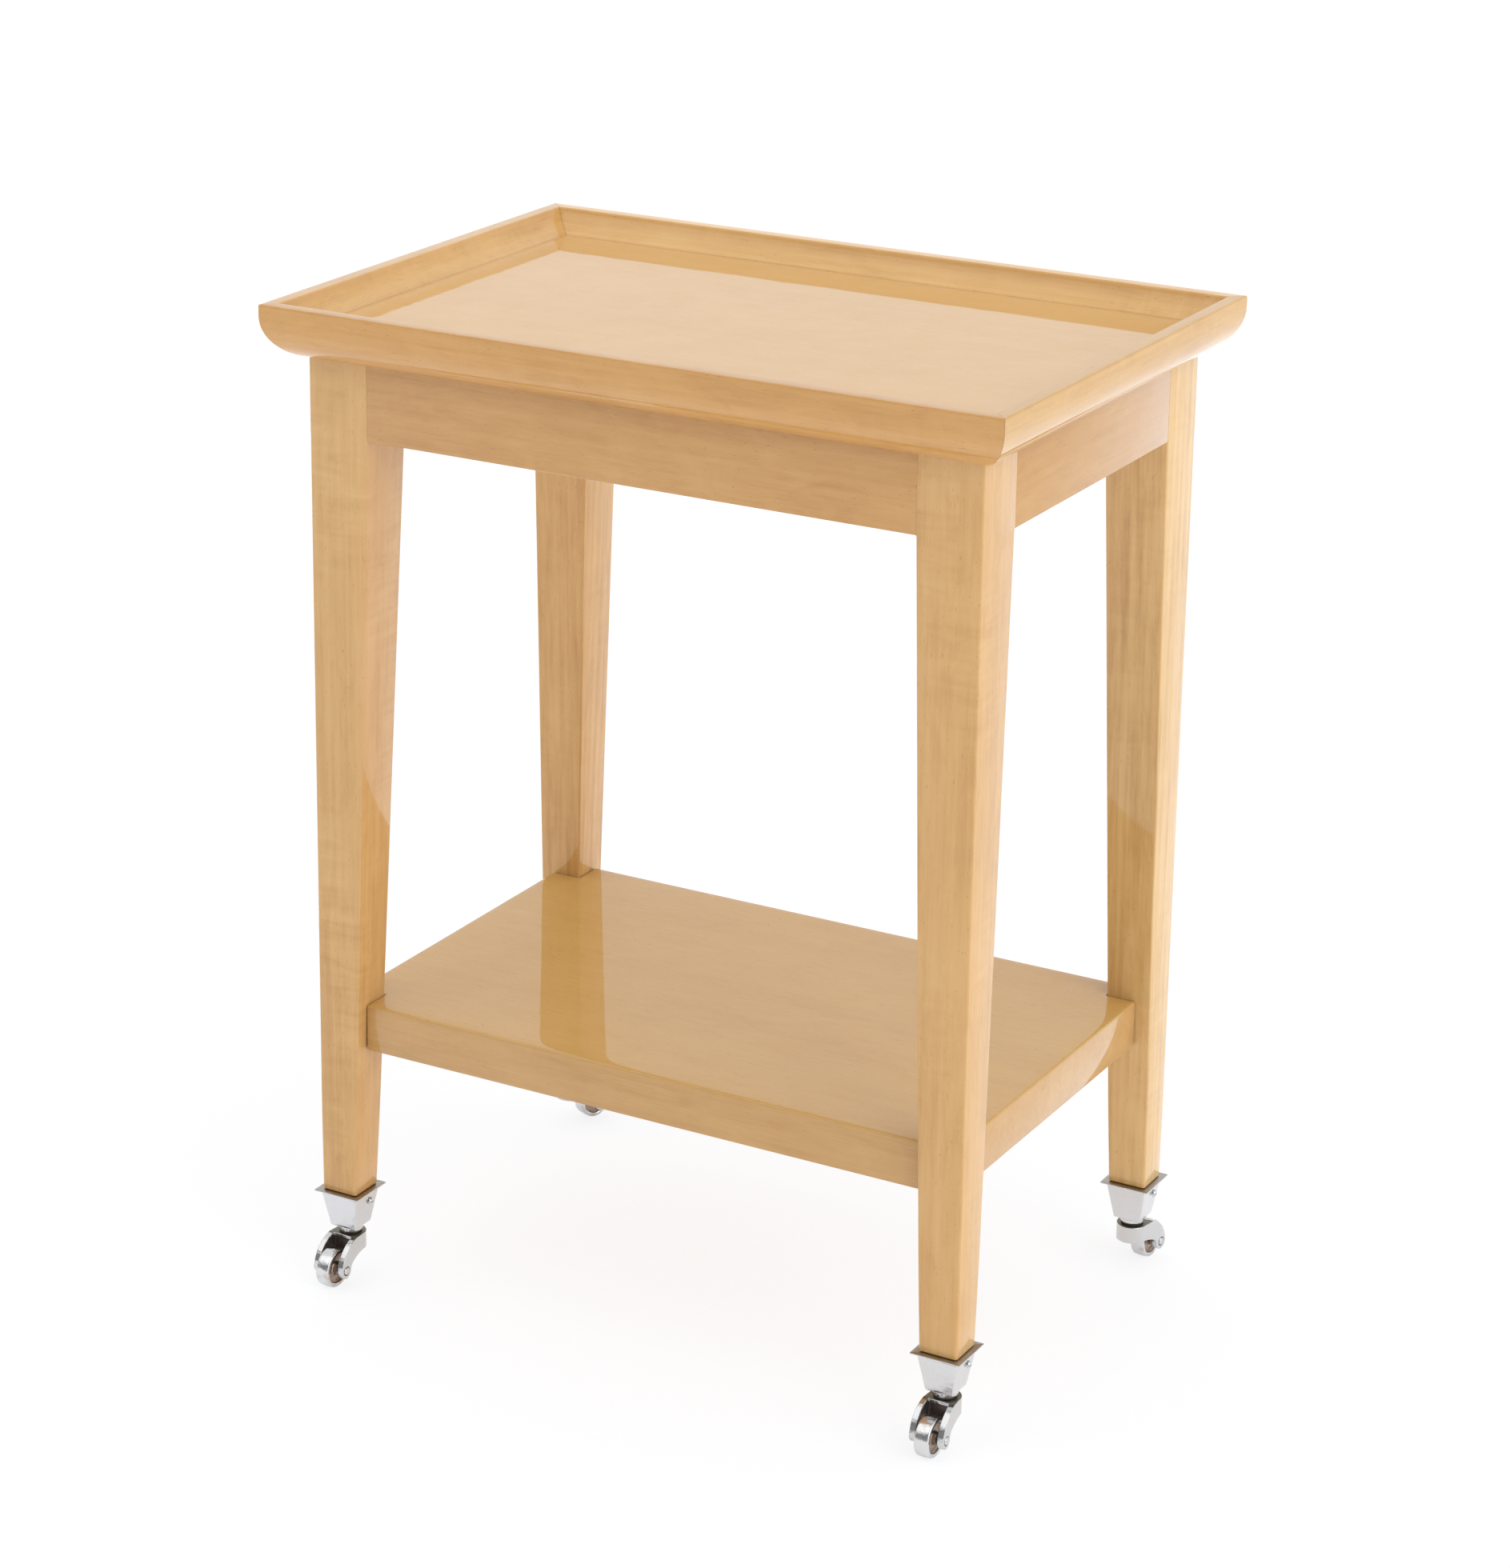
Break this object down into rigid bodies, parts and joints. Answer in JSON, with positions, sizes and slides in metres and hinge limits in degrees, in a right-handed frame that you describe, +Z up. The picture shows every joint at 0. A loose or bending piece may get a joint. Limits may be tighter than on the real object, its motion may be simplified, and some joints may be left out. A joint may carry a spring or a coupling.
{
  "type": "side table",
  "caption": "Two-tier wooden side table with a raised-rim tray top, tapered square legs, a thick notched lower shelf and swivel casters in square metal cups.",
  "frame": {"origin": "on the floor, under the centre of the table", "axes": "+X along the long side, towards the right seen from the front; +Y from front to back; +Z up"},
  "size_m": [0.5776, 0.3956, 0.753],
  "materials": {
    "tray_wood": "gloss lacquer",
    "rim_wood": "gloss lacquer",
    "apron_wood": "gloss lacquer",
    "leg_wood": "gloss lacquer",
    "shelf_wood": "gloss lacquer",
    "inner_wood": "bare",
    "chrome": "polished cast",
    "steel": "satin"
  },
  "bodies": {
    "table": {"tray_panel": "tray_wood", "shelf": "shelf_wood", "rim_front": "rim_wood", "apron_front": "apron_wood", "rim_right": "rim_wood", "apron_right": "apron_wood", "rim_back": "rim_wood", "apron_back": "apron_wood", "rim_left": "rim_wood", "apron_left": "apron_wood", "leg_front_left": "leg_wood", "corner_block_front_left": "inner_wood", "tray_screw_front_left": "steel", "shelf_dowel_front_left": "inner_wood", "caster_cup_front_left": "chrome", "cup_screw_front_left": "chrome", "swivel_pin_front_left": "steel", "swivel_washer_front_left": "steel", "leg_front_right": "leg_wood", "corner_block_front_right": "inner_wood", "tray_screw_front_right": "steel", "shelf_dowel_front_right": "inner_wood", "caster_cup_front_right": "chrome", "cup_screw_front_right": "chrome", "swivel_pin_front_right": "steel", "swivel_washer_front_right": "steel", "leg_back_left": "leg_wood", "corner_block_back_left": "inner_wood", "tray_screw_back_left": "steel", "shelf_dowel_back_left": "inner_wood", "caster_cup_back_left": "chrome", "cup_screw_back_left": "chrome", "swivel_pin_back_left": "steel", "swivel_washer_back_left": "steel", "leg_back_right": "leg_wood", "corner_block_back_right": "inner_wood", "tray_screw_back_right": "steel", "shelf_dowel_back_right": "inner_wood", "caster_cup_back_right": "chrome", "cup_screw_back_right": "chrome", "swivel_pin_back_right": "steel", "swivel_washer_back_right": "steel"},
    "swivel_front_left": {"fork_front_left": "chrome", "axle_front_left": "chrome"},
    "roller_front_left": {"wheel_front_left": "chrome"},
    "swivel_front_right": {"fork_front_right": "chrome", "axle_front_right": "chrome"},
    "roller_front_right": {"wheel_front_right": "chrome"},
    "swivel_back_left": {"fork_back_left": "chrome", "axle_back_left": "chrome"},
    "roller_back_left": {"wheel_back_left": "chrome"},
    "swivel_back_right": {"fork_back_right": "chrome", "axle_back_right": "chrome"},
    "roller_back_right": {"wheel_back_right": "chrome"}
  },
  "joints": [
    {"name": "swivel_front_left", "type": "hinge", "parent": "table", "child": "swivel_front_left", "pos_m": [-0.2491, -0.1581, 0.036], "axis": [0, 0, 1], "continuous": true},
    {"name": "roll_front_left", "type": "hinge", "parent": "swivel_front_left", "child": "roller_front_left", "pos_m": [-0.2501, -0.18108, 0.0145], "axis": [0.999, -0.0436, 0], "continuous": true},
    {"name": "swivel_front_right", "type": "hinge", "parent": "table", "child": "swivel_front_right", "pos_m": [0.2491, -0.1581, 0.036], "axis": [0, 0, 1], "continuous": true},
    {"name": "roll_front_right", "type": "hinge", "parent": "swivel_front_right", "child": "roller_front_right", "pos_m": [0.2491, -0.1811, 0.0145], "axis": [1, 0, 0], "continuous": true},
    {"name": "swivel_back_left", "type": "hinge", "parent": "table", "child": "swivel_back_left", "pos_m": [-0.2491, 0.1581, 0.036], "axis": [0, 0, 1], "continuous": true},
    {"name": "roll_back_left", "type": "hinge", "parent": "swivel_back_left", "child": "roller_back_left", "pos_m": [-0.24123, 0.17971, 0.0145], "axis": [-0.9397, 0.342, 0], "continuous": true},
    {"name": "swivel_back_right", "type": "hinge", "parent": "table", "child": "swivel_back_right", "pos_m": [0.2491, 0.1581, 0.036], "axis": [0, 0, 1], "continuous": true},
    {"name": "roll_back_right", "type": "hinge", "parent": "swivel_back_right", "child": "roller_back_right", "pos_m": [0.2515, 0.18097, 0.0145], "axis": [-0.9945, 0.1045, 0], "continuous": true}
  ]
}
